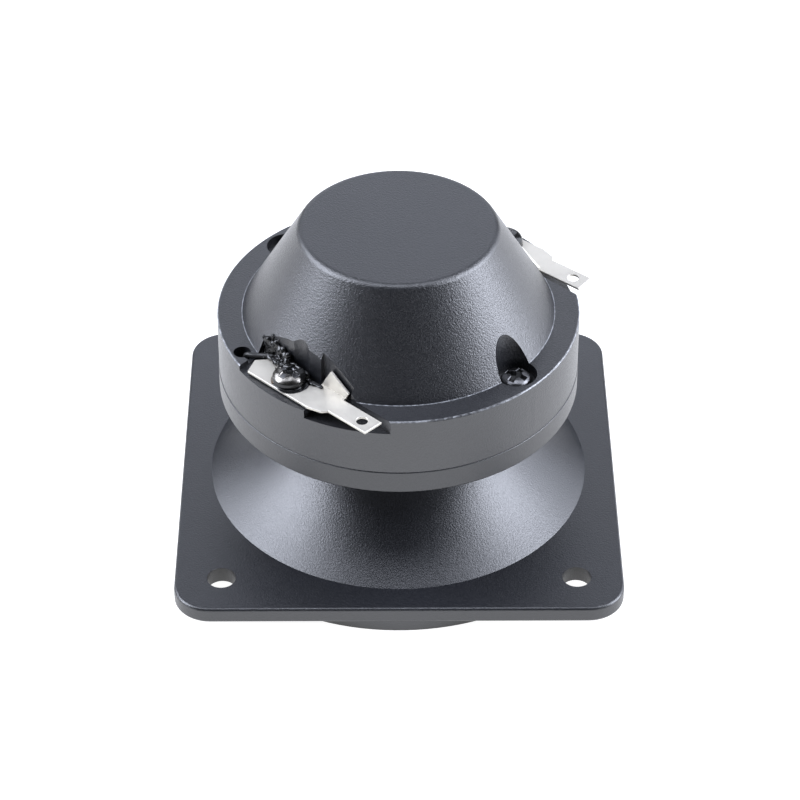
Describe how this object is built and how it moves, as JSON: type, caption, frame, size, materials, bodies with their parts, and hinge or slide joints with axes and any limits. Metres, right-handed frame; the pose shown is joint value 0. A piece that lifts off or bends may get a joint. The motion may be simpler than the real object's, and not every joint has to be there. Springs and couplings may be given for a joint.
{
  "type": "car horn tweeter",
  "caption": "Horn tweeter with a square flange, flared bell, round rear disc and a conical rear cover that carries two solder terminals.",
  "frame": {"origin": "centre of the mouth rim's plane, the lowest plane of the part as it stands face down", "axes": "+Z along the horn's axis from the mouth to the rear cover; X and Y along the sides of the square flange; the terminals' tails point towards +X and -Y"},
  "size_m": [0.085, 0.085, 0.063],
  "materials": {
    "black_abs": "spark-textured moulded ABS, satin charcoal black",
    "black_abs_inner": "moulded ABS, satin black",
    "foam_gasket": "closed-cell foam strip",
    "treated_cloth": "doped cloth, dull black",
    "ring_board": "pressed fibre board",
    "cone_paper": "pressed paper pulp, dark grey",
    "hub_resin": "amber epoxy",
    "disc_brass": "rolled brass",
    "disc_ceramic": "silvered ceramic, dull",
    "solder": "solder, bright",
    "foam_pad": "open-cell foam",
    "tinned_plate": "tin plate, satin",
    "black_screw": "black oxide steel, semi-gloss",
    "lead_wire": "thin insulated stranded copper lead",
    "black_sealant": "set black sealant, glossy"
  },
  "bodies": {
    "housing": {"horn": "black_abs", "rear_cover": "black_abs", "phase_plug": "black_abs_inner", "front_gasket": "foam_gasket", "cone_surround": "treated_cloth", "surround_ring": "ring_board", "rear_gasket": "foam_gasket", "damping_pad": "foam_pad", "terminal_left": "tinned_plate", "terminal_right": "tinned_plate", "cover_screw_front": "black_screw", "cover_screw_rear": "black_screw", "terminal_screw_left": "black_screw", "terminal_screw_right": "black_screw", "lead_left": "lead_wire", "lead_right": "lead_wire", "sealant_left": "black_sealant", "sealant_right": "black_sealant"},
    "driver": {"cone": "cone_paper", "cone_hub": "hub_resin", "piezo_brass": "disc_brass", "piezo_ceramic_front": "disc_ceramic", "piezo_ceramic_rear": "disc_ceramic", "solder_dots": "solder"}
  },
  "joints": [
    {"name": "cone_travel", "type": "slide", "parent": "housing", "child": "driver", "axis": [0, 0, 1], "range_m": [-0.00005, 0.00005], "stiffness_N_per_m": 8000, "deforming": ["cone_surround", "lead_left", "lead_right"]}
  ]
}
